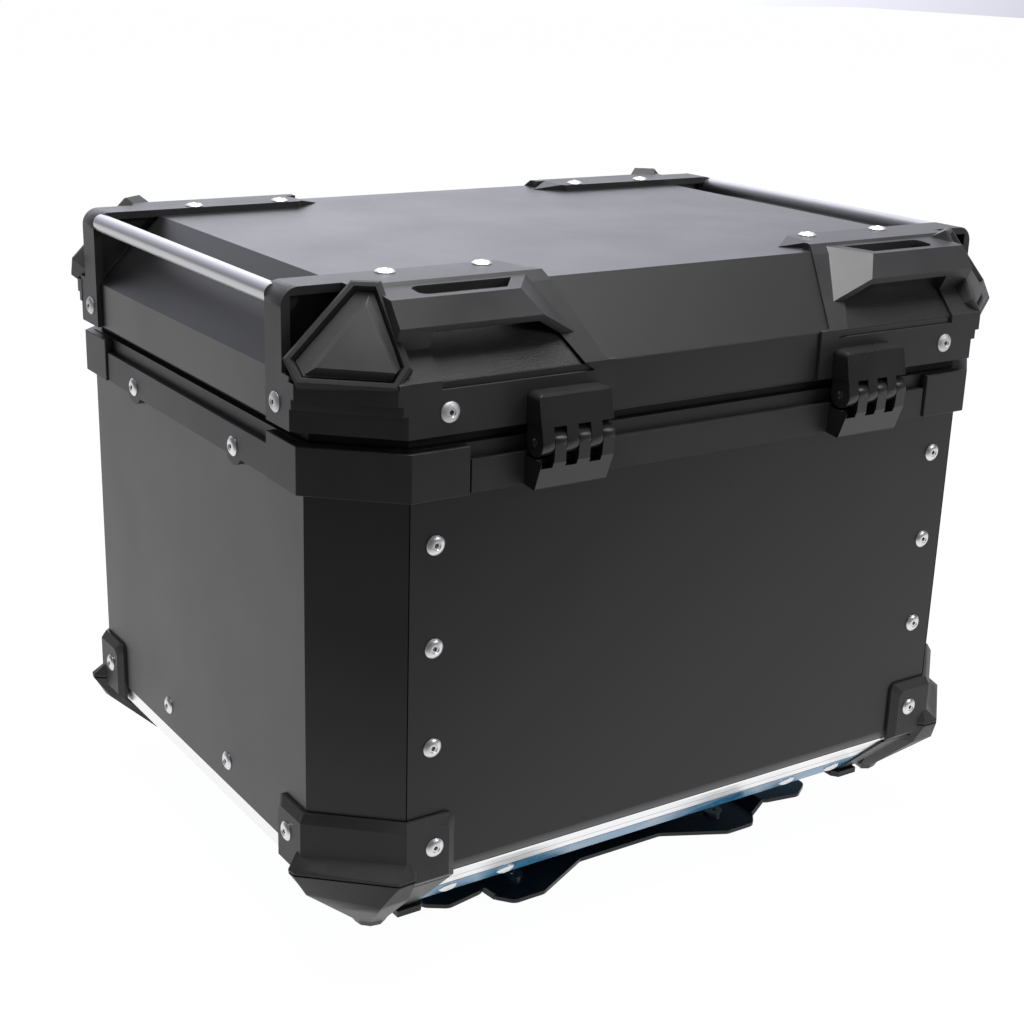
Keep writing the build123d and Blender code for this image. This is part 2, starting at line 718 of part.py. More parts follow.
HEXAGON = [(p.X, p.Y) for p in in_frame(TRIANGLE)]
FRAME_RIM = 3.0          # flat border of the frame
FRAME_DEPTH = 3.6        # depth of the pocket for the cap
FRAME_SLOPE = 1.6        # how far the pocket narrows towards its floor
FRAME_BEVEL = 1.2
FRAME_BLOCK = 18.0
CAP_BASE = 0.9
CAP_GAP = 0.15
CROWN = [(189.3, 145.7, 346.0), (214.8, 145.8, 320.0), (186.5, 166.5, 319.0)]
CROWN_HEIGHT = 0.2
CROWN_SPREAD = 2.8


def frame_prism(points, low, high):
    return FRAME_PLANE * prism(points, low, high)


def frame_taper(low_points, low, high_points, high):
    return FRAME_PLANE * frustum(low_points, low, high_points, high)


def triangle_frame():
    """The hexagonal block that holds the corner cap, with a bevelled edge."""
    bevel = frame_taper(HEXAGON, -FRAME_BEVEL, inset(HEXAGON, FRAME_BEVEL), 0.0)
    return frame_prism(HEXAGON, -FRAME_BLOCK, -FRAME_BEVEL) + bevel


def triangle_pocket():
    """The tapered pocket for the cap."""
    top = inset(HEXAGON, FRAME_RIM)
    floor = inset(HEXAGON, FRAME_RIM + FRAME_SLOPE)
    return frame_taper(floor, -FRAME_DEPTH, top, 0.0) + frame_prism(top, 0.0, 8.0)


def guard_insert():
    """A snap-in cap: a flat base and a low truncated pyramid."""
    seat = -FRAME_DEPTH + CAP_BASE
    floor = inset(HEXAGON, FRAME_RIM + FRAME_SLOPE + CAP_GAP)
    crown = [(p.X, p.Y) for p in in_frame(CROWN)]
    pyramid = frame_taper(inset(crown, -CROWN_SPREAD), seat, crown, CROWN_HEIGHT)
    cap = frame_prism(floor, -FRAME_DEPTH, seat) + (pyramid & frame_prism(floor, -FRAME_DEPTH, 2.0))
    return one_solid(cap - lid_solid(CAP_GAP, 200.0))


# The carrying handle: an arch that stands out from the slope, with a finger tunnel behind it
BAR_TOP = (155.6, 349.2)         # Y, Z of the bar's upper front edge
BAR_LOW = (164.4, 337.8)         # Y, Z of its lower front edge
BAR_BACK_TOP = (151.8, 346.2)
BAR_BACK_LOW = (160.6, 334.8)
ARCH_FOOT_Z = 325.5
ARCH_END = Plane(origin=(112.0, 154.5, 349.0), z_dir=(-0.506, 0.479, 0.718))
ARCH_WALL = 4.0
TUNNEL_OUTER_X = 164.0
TUNNEL_BOTTOM = 309.6
SLOT_ROUND = 5.0
SLOT_BACK = (138.6, 347.0)


def arch():
    solid = profile_along_x(
        [
            (125.0, 345.0),
            (132.0, 351.6),
            BAR_TOP,
            BAR_LOW,
            (slope_y(ARCH_FOOT_Z) + 0.8, ARCH_FOOT_Z),
            (slope_y(ARCH_FOOT_Z) - 4.0, ARCH_FOOT_Z),
        ],
        70.0,
        182.5,
    )
    return split(solid, bisect_by=ARCH_END, keep=Keep.BOTTOM)


def finger_tunnel():
    """From under the bar to the slot above it, down to the lid's slope and the top of its skirt."""
    solid = profile_along_x(
        [
            (slope_y(SLOT_BACK[1]) - 1.0, SLOT_BACK[1]),
            (LID_Y - 1.0, CREASE),
            (LID_Y - 1.0, TUNNEL_BOTTOM),
            (190.0, TUNNEL_BOTTOM),
            (190.0, 331.0),
            BAR_BACK_LOW,
            BAR_BACK_TOP,
            (BAR_BACK_TOP[0], 370.0),
            (SLOT_BACK[0], 370.0),
            SLOT_BACK,
        ],
        70.0,
        TUNNEL_OUTER_X,
    )
    solid = split(solid, bisect_by=ARCH_END.offset(-ARCH_WALL), keep=Keep.BOTTOM)
    outer_end = solid.edges().filter_by_position(Axis.X, TUNNEL_OUTER_X - 0.1, TUNNEL_OUTER_X + 0.1)
    slot_ends = outer_end.filter_by(Axis.Z).filter_by_position(Axis.Z, LID_TOP, 365.0)
    return fillet(slot_ends, SLOT_ROUND)


def guard_plate():
    """The flat part on top of the lid, with a tongue that slopes down to a point."""
    tongue = [(96.5, PLATE_BACK), (94.2, 108.2), TONGUE_TIP, (90.3, 125.6), (95.0, 128.0)]
    front = [(97.0, 134.2), (178.0, 134.0), (191.0, 132.0), (191.0, POST_FAR)]
    outline = [(GUARD_X, PLATE_BACK)] + tongue + front + [(GUARD_X, POST_FAR)]
    plate = prism(outline, LID_TOP - 0.4, GUARD_TOP)
    tip_x, tip_y = TONGUE_TIP
    low = LID_TOP + 0.3
    rise = (GUARD_TOP - low) / (TONGUE_ROOT - tip_x)
    above = [(tip_x - 5.0, low - 5.0 * rise), (TONGUE_ROOT, GUARD_TOP), (TONGUE_ROOT, GUARD_TOP + 5.0)]
    above = above + [(tip_x - 5.0, GUARD_TOP + 5.0)]
    return plate - profile_along_y(above, tip_y - 20.0, tip_y + 20.0)


PLATE_BACK = 105.6
TONGUE_TIP = (79.6, 118.0)
TONGUE_ROOT = 94.2       # where the tongue starts to slope down
POST_NEAR = 108.5
POST_FAR = 125.6
POST_THICK = 4.6
WEB_Y = 112.0
WEB = 3.0
SHOULDER_R = 9.0         # rounding over the post
BOSS_R = 6.5             # boss round the rail's spigot
BOSS_END = 120.0


def guard_post():
    """The upright at the end of the rail, with a boss, a web and a diagonal rib behind it."""
    post = block((GUARD_X - POST_THICK, POST_NEAR, GUARD_BOTTOM), (GUARD_X, POST_FAR, GUARD_TOP))
    boss = rod((RAIL_X, POST_NEAR, RAIL_Z), (0, 1, 0), BOSS_R, BOSS_END - POST_NEAR)
    boss = boss & block((0, 0, 0), (GUARD_X, 200.0, GUARD_TOP))
    web = block((175.0, WEB_Y, CREASE - 6.0), (GUARD_X - 1.0, WEB_Y + WEB, GUARD_TOP - 1.0))
    diagonal = [(216.0, 313.0), (219.5, 313.0), (182.0, 352.0), (178.5, 352.0)]
    rib = profile_along_y(diagonal, WEB_Y - 1.5, WEB_Y + 1.0)
    return post + boss + web + rib


def shoulder_cut():
    """What is taken off the long upper edge of the post and plate to round it."""
    x = GUARD_X - SHOULDER_R
    z = GUARD_TOP - SHOULDER_R
    corner = block((x, PLATE_BACK - 1.0, z), (GUARD_X + 5.0, POST_FAR + 5.0, GUARD_TOP + 5.0))
    return corner - rod((x, PLATE_BACK - 5.0, z), (0, 1, 0), SHOULDER_R, 50.0)


def guard_wall():
    """The low wall round the corner, with two ledges under the frame."""
    outline = octagon(GUARD_X, GUARD_Y, GUARD_CUT_X, GUARD_CUT_Y)
    wall = prism(outline, GUARD_BOTTOM, WALL_TOP)
    wall = wall & block((66.8, POST_NEAR + 0.2, 0), (300, 300, 500))
    corner = block((181.0, 131.5, 0), (300, 300, 500))
    for step, low, high in ((1.6, 299.0, 304.0), (3.4, 304.0, 311.5)):
        ledge = octagon(GUARD_X + 0.3, GUARD_Y, GUARD_CUT_X - 1.5 * step, GUARD_CUT_Y - 1.5 * step)
        wall = wall + (prism(ledge, low, high) & corner)
    return wall


def guard_cover():
    """The thin cover on the front slope."""
    cover = profile_along_x(
        [
            (slope_y(CREASE) - 1.0, CREASE - 3.0),
            (GUARD_Y, CREASE - 3.0),
            (GUARD_Y, CREASE + 0.8),
            (slope_y(LID_TOP - 1.0, COVER), LID_TOP - 1.0),
            (134.2, GUARD_TOP),
            (128.0, GUARD_TOP),
            (128.0, LID_TOP - 1.0),
        ],
        66.8,
        186.0,
    )
    inner_edge = [(50, 100), (88.0, 128.0), (88.0, 131.7), (73.0, 168.8), (66.8, 172.0), (50, 180)]
    return cover - prism(inner_edge, CREASE - 5, 400.0)


def lid_guard():
    guard = guard_plate() + guard_wall() + guard_cover() + arch() + guard_post()
    guard = guard - shoulder_cut()
    guard = guard + triangle_frame()
    guard = guard - finger_tunnel() - triangle_pocket()
    guard = guard - rod((RAIL_X, 90.0, RAIL_Z), (0, 1, 0), RAIL_R, POST_NEAR - 90.0)
    guard = guard - rod((RAIL_X, POST_NEAR, RAIL_Z), (0, 1, 0), SPIGOT_R, SPIGOT_END - POST_NEAR)
    return one_solid(guard - lid_solid(0.0, 200.0))


def side_rail(side):
    """A round bar whose ends are turned down to spigots."""
    x = side * RAIL_X
    bar = rod((x, -POST_NEAR, RAIL_Z), (0, 1, 0), RAIL_R, 2 * POST_NEAR)
    return bar + rod((x, -SPIGOT_END, RAIL_Z), (0, 1, 0), SPIGOT_R, 2 * SPIGOT_END)


corner_guard = lid_guard()
corner_insert = guard_insert()
for place, (sx, sy) in CORNERS.items():
    parts["lid_guard_" + place] = drilled(to_corner(corner_guard, sx, sy), lid_rivets)
    parts["guard_insert_" + place] = to_corner(corner_insert, sx, sy)
for name, side in SIDES.items():
    parts[name + "_rail"] = side_rail(side)


# ---------------------------------------------------------------------------------------------
# Hinges, made at x = 0 on the -Y side
# ---------------------------------------------------------------------------------------------
KNUCKLE = 2 * UNIT_HALF / KNUCKLES
LEAF_LEAN = 2.95         # how far the leaf's front leans out towards its lower edge
NECK_RISE = 1.4          # where the necks leave the barrels, from the pin's height


def knuckle_span(index):
    low = -UNIT_HALF + index * KNUCKLE
    return low + SIDE_GAP / 2, low + KNUCKLE - SIDE_GAP / 2


def barrel(low, high):
    """One knuckle's barrel, with the pin's hole still to be cut."""
    return rod((low, -PIVOT_Y, PIVOT_Z), (1, 0, 0), BARREL_R, high - low)


def hinge_bore(radius):
    return rod((-UNIT_HALF - 5, -PIVOT_Y, PIVOT_Z), (1, 0, 0), radius, 2 * UNIT_HALF + 10)


def leaf_window():
    """The upper leaf's outline seen square on, with rounded upper corners."""
    shape = block((-UNIT_HALF, -PIVOT_Y - 10.0, PIVOT_Z), (UNIT_HALF, -GUARD_Y, UNIT_TOP))
    top_corners = shape.edges().filter_by(Axis.Y).group_by(Axis.Z)[-1]
    return fillet(top_corners, LEAF_ROUND)


def hinge_upper():
    lid_face = -GUARD_Y
    leaf_foot = (-LEAF_FRONT - LEAF_LEAN, LEAF_LOW)
    tangent = (-PIVOT_Y - 6.85, PIVOT_Z + NECK_RISE)
    inner_top = (-PIVOT_Y + 7.0, LEAF_LOW)
    inner_low = (-PIVOT_Y + 6.6, PIVOT_Z + NECK_RISE)
    leaf = profile_along_x(
        [
            (lid_face, LEAF_LOW),
            leaf_foot,
            (-LEAF_FRONT, UNIT_TOP - 1.0),
            (-LEAF_FRONT + 1.0, UNIT_TOP),
            (lid_face, UNIT_TOP),
        ],
        -UNIT_HALF,
        UNIT_HALF,
    )
    leaf = leaf & leaf_window()
    for i in range(0, KNUCKLES, 2):
        low, high = knuckle_span(i)
        neck = profile_along_x([tangent, inner_low, inner_top, leaf_foot], low, high)
        leaf = leaf + barrel(low, high) + neck
    return leaf - hinge_bore(PIN_R + RUNNING)


def hinge_lower():
    case_face = -HALF_Y - BAND_OUT
    top = PIVOT_Z - BARREL_R - NECK_RISE
    front = -PIVOT_Y - 6.4
    leaf = profile_along_x(
        [
            (case_face, UNIT_BOTTOM + 1.0),
            (case_face, top),
            (-PIVOT_Y - 5.4, top),
            (front, top - 1.0),
            (-PIVOT_Y - 1.4, UNIT_BOTTOM + 0.8),
            (-PIVOT_Y - 0.6, UNIT_BOTTOM),
        ],
        -UNIT_HALF,
        UNIT_HALF,
    )
    for i in range(0, KNUCKLES, 2):
        low, high = knuckle_span(i)
        leaf = leaf - block((low, -PIVOT_Y - 12, top - 3.4), (high, -PIVOT_Y - 1.0, top + 5.0))
    for i in range(1, KNUCKLES, 2):
        low, high = knuckle_span(i)
        sides = [(-PIVOT_Y - BARREL_R, PIVOT_Z), (-PIVOT_Y + BARREL_R, PIVOT_Z)]
        foot_line = [(-PIVOT_Y + BARREL_R, top - 2.0), (front, top - 1.0)]
        leaf = leaf + barrel(low, high) + profile_along_x(sides + foot_line, low, high)
    return leaf - hinge_bore(PIN_R)


def hinge_pin():
    """A plain pin, a little shorter than the hinge."""
    return rod((-UNIT_HALF + PIN_SHORT, -PIVOT_Y, PIVOT_Z), (1, 0, 0), PIN_R, 2 * (UNIT_HALF - PIN_SHORT))


upper_leaf = hinge_upper()
lower_leaf = hinge_lower()
pin = hinge_pin()
for name, side in SIDES.items():
    place = Pos(side * UNIT_X, 0, 0)
    parts["hinge_upper_" + name] = place * upper_leaf
    parts["hinge_lower_" + name] = place * lower_leaf
    parts["hinge_pin_" + name] = place * pin


# ---------------------------------------------------------------------------------------------
# Latches, made at x = 0 on the +Y side. The flap stands in front of the strike; the lock's cam
# turns across inside the strike and holds the lid down.
# ---------------------------------------------------------------------------------------------
FLAP_HALF = 14.0
FLAP_IN = 179.2
FLAP_OUT = 185.0
FLAP_TOP = 313.5
EYE_R = 4.6
STRIKE_FRONT = 177.4
STRIKE_HALF = 13.6
STRIKE_LOW = 289.6
STRIKE_HIGH = 312.0
LOCK_Z = 300.5
LOCK_R = 7.0
CAM_HALF = 6.0           # half length of the lock's cam
CAM_WIDE = 1.9           # half its width
CAM_Y = (173.4, 176.6)
CHAMBER_R = 9.0
CHANNEL_HALF = 4.2
LATCH_PLATE = 172.8      # front of the latch base's back plate


def latch_base():
    """The body on the rim band: a back plate and two cheeks that hold the flap's pin."""
    case_face = HALF_Y + BAND_OUT
    base = block((-UNIT_HALF, case_face, UNIT_BOTTOM), (UNIT_HALF, LATCH_PLATE, BAND_TOP))
    for side in (-1, 1):
        inner = side * (FLAP_HALF + SIDE_GAP)
        outer = side * UNIT_HALF
        base = base + profile_along_x(
            [
                (case_face, UNIT_BOTTOM),
                (183.0, UNIT_BOTTOM + 1.5),
                (184.2, UNIT_BOTTOM + 3.0),
                (184.2, 269.0),
                (180.0, BAND_TOP),
                (case_face, BAND_TOP),
            ],
            min(inner, outer),
            max(inner, outer),
        )
    return base - rod((-UNIT_HALF - 5, LATCH_PIVOT_Y, LATCH_PIVOT_Z), (1, 0, 0), PIN_R, 2 * UNIT_HALF + 10)


def latch_flap():
    """The flap: an eye on the pin and a bevelled plate with the lock's bore."""
    edge = 1.2
    plate = profile_along_x(
        [
            (FLAP_IN, LATCH_PIVOT_Z),
            (FLAP_IN, FLAP_TOP),
            (FLAP_OUT - edge, FLAP_TOP),
            (FLAP_OUT, FLAP_TOP - edge),
            (FLAP_OUT, LATCH_PIVOT_Z + 4.0),
            (182.6, LATCH_PIVOT_Z),
        ],
        -FLAP_HALF,
        FLAP_HALF,
    )
    eye = rod((-FLAP_HALF, LATCH_PIVOT_Y, LATCH_PIVOT_Z), (1, 0, 0), EYE_R, 2 * FLAP_HALF)
    flap = plate + eye
    bore_start = (-FLAP_HALF - 5, LATCH_PIVOT_Y, LATCH_PIVOT_Z)
    pin_bore = rod(bore_start, (1, 0, 0), PIN_R + RUNNING, 2 * FLAP_HALF + 10)
    lock_bore = rod((0, FLAP_IN - 5.0, LOCK_Z), (0, 1, 0), LOCK_R + RUNNING, 20.0)
    return flap - pin_bore - lock_bore


def lock_plug():
    """The key cylinder that turns in the flap, with the cam on its inner end."""
    face = FLAP_OUT - 0.4
    plug = rod((0, FLAP_IN, LOCK_Z), (0, 1, 0), LOCK_R, face - FLAP_IN)
    stem = rod((0, CAM_Y[0], LOCK_Z), (0, 1, 0), CAM_WIDE, FLAP_IN - CAM_Y[0])
    cam = block((-CAM_WIDE, CAM_Y[0], LOCK_Z - CAM_HALF), (CAM_WIDE, CAM_Y[1], LOCK_Z + CAM_HALF))
    keyhole = block((-0.9, face - 3.0, LOCK_Z - 3.6), (0.9, face + 1.0, LOCK_Z + 3.6))
    return plug + stem + cam - keyhole


def latch_strike():
    """The lid's catch: a block with a round chamber and a channel that lets the upright cam out."""
    edge = 2.0
    strike = profile_along_x(
        [
            (GUARD_Y, STRIKE_LOW),
            (STRIKE_FRONT - edge, STRIKE_LOW),
            (STRIKE_FRONT, STRIKE_LOW + edge),
            (STRIKE_FRONT, STRIKE_HIGH - edge),
            (STRIKE_FRONT - edge, STRIKE_HIGH),
            (GUARD_Y, STRIKE_HIGH),
        ],
        -STRIKE_HALF,
        STRIKE_HALF,
    )
    floor = GUARD_Y + 1.2
    chamber = rod((0, floor, LOCK_Z), (0, 1, 0), CHAMBER_R, 20.0)
    channel = block((-CHANNEL_HALF, floor, STRIKE_LOW - 5.0), (CHANNEL_HALF, 190.0, LOCK_Z))
    return strike - chamber - channel


base_body = latch_base()
flap_body = latch_flap()
plug_body = lock_plug()
strike_body = latch_strike()
latch_pin = rod((-UNIT_HALF, LATCH_PIVOT_Y, LATCH_PIVOT_Z), (1, 0, 0), PIN_R, 2 * UNIT_HALF)
for name, side in SIDES.items():
    place = Pos(side * UNIT_X, 0, 0)
    parts["latch_base_" + name] = place * base_body
    parts["latch_pin_" + name] = place * latch_pin
    parts["latch_flap_" + name] = place * flap_body
    parts["lock_plug_" + name] = place * plug_body
    parts["latch_strike_" + name] = place * strike_body

# ---------------------------------------------------------------------------------------------
# Rivets
# ---------------------------------------------------------------------------------------------
parts["panel_rivets"] = rivet_group(panel_rivets)
parts["end_rivets"] = rivet_group(end_rivets + band_rivets)
parts["guard_rivets"] = rivet_group(guard_rivets)
parts["pan_rivets"] = rivet_group(pan_rivets)
parts["lid_rivets"] = rivet_group(lid_rivets)

os.makedirs("parts", exist_ok=True)
for name, shape in parts.items():
    export_step(shape, f"parts/{name}.step")
print(len(parts), "nodes written")
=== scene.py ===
import json
import math
import bpy
from mathutils import Matrix, Vector


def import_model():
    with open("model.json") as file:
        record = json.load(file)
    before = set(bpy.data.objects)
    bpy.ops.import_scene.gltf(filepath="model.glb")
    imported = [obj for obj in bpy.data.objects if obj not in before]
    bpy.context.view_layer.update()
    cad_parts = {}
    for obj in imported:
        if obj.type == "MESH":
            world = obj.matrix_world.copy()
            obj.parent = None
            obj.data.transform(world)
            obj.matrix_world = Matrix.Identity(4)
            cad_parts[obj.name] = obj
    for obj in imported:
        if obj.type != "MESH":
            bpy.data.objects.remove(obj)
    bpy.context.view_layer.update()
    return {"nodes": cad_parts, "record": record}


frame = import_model()
MM = 0.001

# Heights on the case that the materials follow, in the part's own frame
REFLECTION_FROM = 60.2 * MM      # below this the front and rear panels' bend gets the full painted reflection of the floor, a lighter grey
REFLECTION_TO = 64.8 * MM        # above this there is no painted reflection
REFLECTION_WANDER = 1.2 * MM     # how far the blotches move that border
SHADE_BELOW = 59.0 * MM         # below this the coat is painted near-black, a painted shade on the bend's underside
DARK_LINE_HEIGHT = 48.4 * MM        # the thin darker grey line along the middle of the pan's bevel
DARK_LINE_CORE = 0.35 * MM        # half its width, and half its width with the soft border
DARK_LINE_FADE = 0.7 * MM
LID_FOLD = 313.2 * MM        # the lid's slopes start above this fold
SLOPE_TILT = 0.893           # |y| + SLOPE_TILT * z is past SLOPE_OUT on the front and rear slopes
SLOPE_OUT = 448.0 * MM

# Colours
COAT_DARK = (0.0065, 0.0065, 0.007)
COAT_LIGHT = (0.0095, 0.0095, 0.0105)
# painted reflection of the floor on the panels' rolled-in bend
COAT_FLOOR_REFLECTION = (0.12, 0.12, 0.125)
# painted shade on the underside of the panels' bend
COAT_UNDER_BEND_SHADE = (0.004, 0.004, 0.004)
# painted shade on the lid's front and rear slopes
COAT_SLOPE_SHADE = (0.005, 0.005, 0.0053)
FILM_DEEP = (0.02, 0.13, 0.27)
FILM_PALE = (0.045, 0.22, 0.38)
SHEET_DARK = (0.87, 0.87, 0.88)
SHEET_LIGHT = (0.92, 0.92, 0.93)
SHEET_DARK_LINE = (0.33, 0.34, 0.36)
RIVET_HEAD = (0.76, 0.76, 0.77)

# Texture scales, in cycles per metre, and bump depths, in metres
BLOTCHES = 14.0
FINE_GRAIN = 2600.0
COARSE_GRAIN = 2300.0
PLASTIC_GRAIN = 1900.0
FINE_DEPTH = 0.05 * MM
EVEN = (1.0, 1.0, 1.0)       # a texture that isn't stretched


# ---------------------------------------------------------------------------------------------
# Materials
# ---------------------------------------------------------------------------------------------
class Nodes:
    """A new material, with short calls that add and link its shader nodes."""

    def __init__(self, name):
        self.material = bpy.data.materials.new(name)
        self.material.use_nodes = True
        self.tree = self.material.node_tree
        self.tree.nodes.clear()
        self.out = self.add("ShaderNodeOutputMaterial")
        self.bsdf = self.add("ShaderNodeBsdfPrincipled")
        self.link(self.bsdf.outputs["BSDF"], self.out.inputs["Surface"])
        self.place = self.add("ShaderNodeTexCoord").outputs["Object"]

    def add(self, kind, **values):
        node = self.tree.nodes.new(kind)
        for key, value in values.items():
            setattr(node, key, value)
        return node

    def link(self, a, b):
        self.tree.links.new(a, b)

    def set(self, **values):
        """Sets constants on the shader: Base_Color=... is its socket "Base Color"."""
        for key, value in values.items():
            self.bsdf.inputs[key.replace("_", " ")].default_value = value

    def noise(self, scale, detail=2.0, rough=0.5, vector=None):
        node = self.add("ShaderNodeTexNoise")
        node.inputs["Scale"].default_value = scale
        node.inputs["Detail"].default_value = detail
        node.inputs["Roughness"].default_value = rough
        self.link(vector or self.place, node.inputs["Vector"])
        return node.outputs["Fac"]

    def stretched(self, x, y, z):
        node = self.add("ShaderNodeMapping")
        node.inputs["Scale"].default_value = (x, y, z)
        self.link(self.place, node.inputs["Vector"])
        return node.outputs["Vector"]

    def axes(self):
        """The place's own X, Y and Z."""
        node = self.add("ShaderNodeSeparateXYZ")
        self.link(self.place, node.inputs["Vector"])
        return node.outputs

    def remap(self, source, low, high, to_low, to_high):
        node = self.add("ShaderNodeMapRange")
        node.inputs["From Min"].default_value = low
        node.inputs["From Max"].default_value = high
        node.inputs["To Min"].default_value = to_low
        node.inputs["To Max"].default_value = to_high
        self.link(source, node.inputs["Value"])
        return node.outputs["Result"]

    def math(self, operation, a, b=0.0):
        node = self.add("ShaderNodeMath", operation=operation)
        for value, socket in ((a, node.inputs[0]), (b, node.inputs[1])):
            if isinstance(value, (int, float)):
                socket.default_value = value
            else:
                self.link(value, socket)
        return node.outputs[0]

    def mix_colour(self, fac, a, b):
        """Mixes two colours, each of them numbers or a socket."""
        node = self.add("ShaderNodeMix", data_type="RGBA")
        self.link(fac, node.inputs["Factor"])
        for value, letter in ((a, "A"), (b, "B")):
            socket = next(s for s in node.inputs if s.name == letter and s.type == "RGBA")
            if isinstance(value, tuple):
                socket.default_value = (*value, 1.0)
            else:
                self.link(value, socket)
        return next(s for s in node.outputs if s.type == "RGBA")

    def colour(self, value):
        self.link(value, self.bsdf.inputs["Base Color"])

    def roughness(self, value):
        self.link(value, self.bsdf.inputs["Roughness"])

    def bump(self, height, strength, distance, after=None):
        node = self.add("ShaderNodeBump")
        node.inputs["Strength"].default_value = strength
        node.inputs["Distance"].default_value = distance
        self.link(height, node.inputs["Height"])
        if after is not None:
            self.link(after, node.inputs["Normal"])
        self.link(node.outputs["Normal"], self.bsdf.inputs["Normal"])
        return node.outputs["Normal"]


def coat_colour(m, blotch):
    """Near-black powder coat with faint blotches."""
    return m.mix_colour(m.remap(blotch, 0.3, 0.7, 0.0, 1.0), COAT_DARK, COAT_LIGHT)


def powder_coat(name, bend):
    """Satin powder coat. With bend, the rolled-in lower edge gets a lighter grey, a painted
    reflection of the floor, and the bend's underside a painted shade.
    """
    m = Nodes(name)
    blotch = m.noise(BLOTCHES, 3.0, 0.6)
    grain = m.noise(FINE_GRAIN, 2.0, 0.6)
    colour = coat_colour(m, blotch)
    if bend:
        height = m.axes()["Z"]
        # painted reflection of the floor: the bend is lightened below a border that the blotches
        # move
        border = m.math("ADD", height, m.math("MULTIPLY", blotch, REFLECTION_WANDER))
        painted_reflection = m.remap(border, REFLECTION_FROM, REFLECTION_TO, 1.0, 0.0)
        colour = m.mix_colour(painted_reflection, colour, COAT_FLOOR_REFLECTION)
        # painted shade: the coat below this height is near-black, for the bend's shaded underside
        edge = m.math("LESS_THAN", height, SHADE_BELOW)
        colour = m.mix_colour(edge, colour, COAT_UNDER_BEND_SHADE)
    m.colour(colour)
    m.roughness(m.remap(m.math("ADD", blotch, grain), 0.7, 1.3, 0.33, 0.41))
    first = m.bump(grain, 0.25, FINE_DEPTH)
    m.bump(m.noise(260.0, 1.0), 0.12, 0.2 * MM, first)
    m.set(IOR=1.43 if bend else 1.5)
    return m.material


def lid_coat():
    """Powder coat with a coarse grain on the slopes towards the front and rear, where its colour
    is also darkened as painted shade.
    """
    m = Nodes("lid_coat")
    place = m.axes()
    side = m.math("ABSOLUTE", place["Y"])
    over = m.math("GREATER_THAN", place["Z"], LID_FOLD)
    tilted = m.math("MULTIPLY", place["Z"], SLOPE_TILT)
    outer = m.math("GREATER_THAN", m.math("ADD", side, tilted), SLOPE_OUT)
    mask = m.math("MULTIPLY", over, outer)
    blotch = m.noise(BLOTCHES, 3.0, 0.6)
    grain = m.noise(FINE_GRAIN, 2.0, 0.6)
    coarse = m.noise(COARSE_GRAIN, 2.0, 0.6)
    # painted shade: the front and rear slopes get a darker coat colour
    m.colour(m.mix_colour(mask, coat_colour(m, blotch), COAT_SLOPE_SHADE))
    base = m.remap(m.math("ADD", blotch, grain), 0.7, 1.3, 0.32, 0.40)
    m.roughness(m.math("ADD", base, m.math("MULTIPLY", mask, 0.12)))
    first = m.bump(grain, 0.22, FINE_DEPTH)
    m.bump(m.math("MULTIPLY", coarse, mask), 1.0, 0.22 * MM, first)
    m.set(IOR=1.5)
    return m.material


def textured_plastic(name, base, rough, grain_scale, grain_depth, strength=0.5, ior=1.4):
    """Moulded plastic, rubber or painted steel: one colour, faintly uneven, with a grain."""
    m = Nodes(name)
    blotch = m.noise(25.0, 2.0, 0.6)
    grain = m.noise(grain_scale, 3.0, 0.6)
    low = tuple(c * 0.85 for c in base)
    high = tuple(c * 1.2 for c in base)
    m.colour(m.mix_colour(m.remap(blotch, 0.3, 0.7, 0.0, 1.0), low, high))
    m.roughness(m.remap(blotch, 0.3, 0.7, rough - 0.03, rough + 0.04))
    m.bump(grain, strength, grain_depth)
    m.set(IOR=ior)
    return m.material


def metal(name, base, rough, scale, depth, spread=0.04, stretch=EVEN):
    """Bare metal with fine lines or, where the texture isn't stretched, a fine grain."""
    m = Nodes(name)
    lines = m.noise(scale, 3.0, 0.6, m.stretched(*stretch))
    low = tuple(c * 0.93 for c in base)
    m.colour(m.mix_colour(lines, low, base))
    m.roughness(m.remap(lines, 0.3, 0.7, rough - spread, rough + spread))
    m.bump(lines, 0.3, depth)
    m.set(Metallic=1.0)
    return m.material


def film():
    """Blue transport film: glossy and a little wrinkled."""
    m = Nodes("film")
    ripple = m.noise(60.0, 3.0, 0.55)
    m.colour(m.mix_colour(m.remap(ripple, 0.35, 0.65, 0.0, 1.0), FILM_DEEP, FILM_PALE))
    m.roughness(m.remap(ripple, 0.3, 0.7, 0.2, 0.32))
    m.bump(ripple, 0.35, 0.6 * MM)
    m.set(Metallic=0.1, IOR=1.3)
    return m.material


def bare_sheet():
    """Mill-finish aluminium with a thin darker grey line along the middle of the pan's bevel."""
    m = Nodes("raw_aluminium")
    lines = m.noise(90.0, 3.0, 0.6, m.stretched(1.0, 30.0, 30.0))
    off_line = m.math("ABSOLUTE", m.math("SUBTRACT", m.axes()["Z"], DARK_LINE_HEIGHT))
    dark_line = m.remap(off_line, DARK_LINE_CORE, DARK_LINE_FADE, 1.0, 0.0)
    m.colour(m.mix_colour(dark_line, m.mix_colour(lines, SHEET_DARK, SHEET_LIGHT), SHEET_DARK_LINE))
    m.roughness(m.remap(lines, 0.3, 0.7, 0.26, 0.38))
    m.bump(lines, 0.3, 0.04 * MM)
    m.set(Metallic=1.0)
    return m.material


